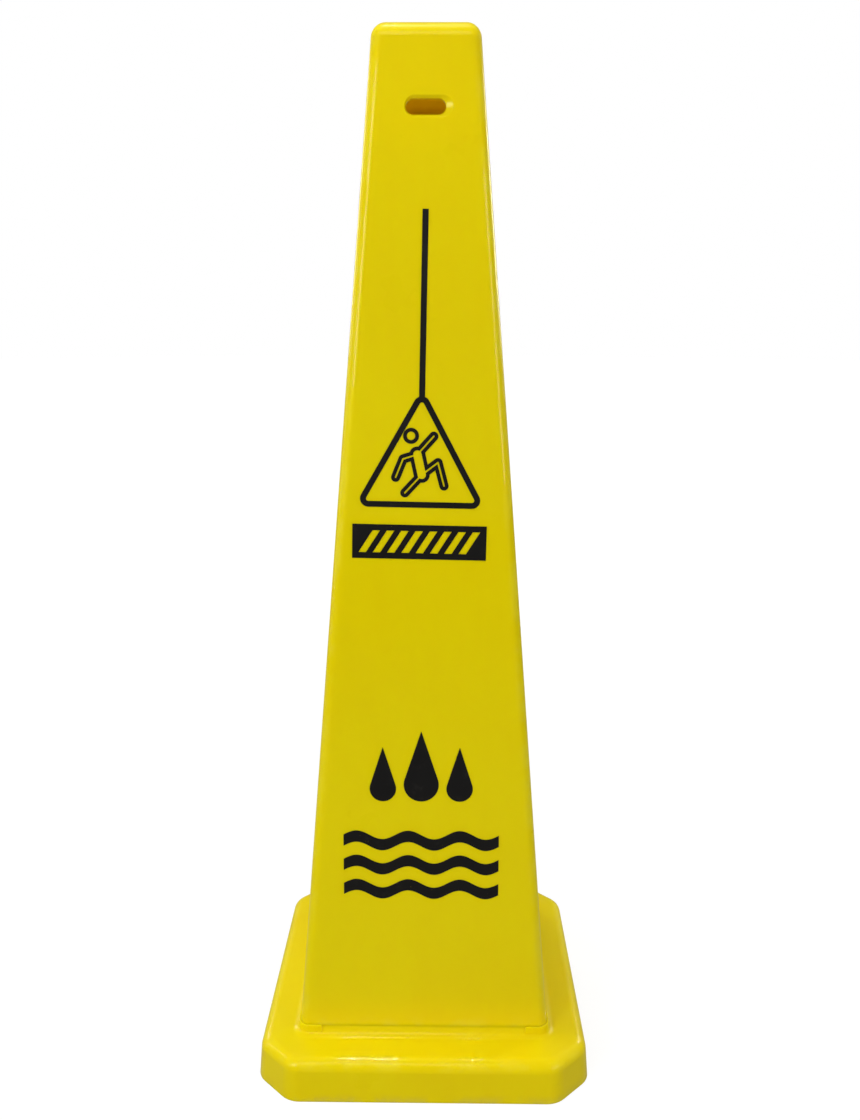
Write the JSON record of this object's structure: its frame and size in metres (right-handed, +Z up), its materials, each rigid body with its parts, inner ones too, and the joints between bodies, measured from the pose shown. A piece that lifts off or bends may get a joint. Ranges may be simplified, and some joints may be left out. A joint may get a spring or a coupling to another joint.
{
  "type": "wet floor sign",
  "caption": "Tall four-sided tapered floor sign, yellow plastic, with a flared base, a slot near the closed top and black slip-hazard print on every face.",
  "frame": {"origin": "on the floor, at the centre of the base", "axes": "+Z up, the printed front with the slot faces -Y, +X to the right of someone who looks at the front"},
  "size_m": [0.3048, 0.3048, 0.9144],
  "materials": {
    "tower_plastic": "semi-gloss injection-moulded yellow polypropylene, slightly translucent where it is thin",
    "base_plastic": "the same yellow, a little glossier on the rounded shoulder",
    "black_print": "black screen-printed ink with a slight sheen"
  },
  "bodies": {
    "root": {"tower_shell": "tower_plastic", "base_skirt": "base_plastic", "front_hanging_triangle_print": "black_print", "front_falling_figure_print": "black_print", "front_striped_panel_print": "black_print", "front_water_drops_print": "black_print", "front_water_waves_print": "black_print", "right_hanging_triangle_print": "black_print", "right_falling_figure_print": "black_print", "right_striped_panel_print": "black_print", "right_water_drops_print": "black_print", "right_water_waves_print": "black_print", "rear_hanging_triangle_print": "black_print", "rear_falling_figure_print": "black_print", "rear_striped_panel_print": "black_print", "rear_water_drops_print": "black_print", "rear_water_waves_print": "black_print", "left_hanging_triangle_print": "black_print", "left_falling_figure_print": "black_print", "left_striped_panel_print": "black_print", "left_water_drops_print": "black_print", "left_water_waves_print": "black_print"}
  },
  "joints": []
}
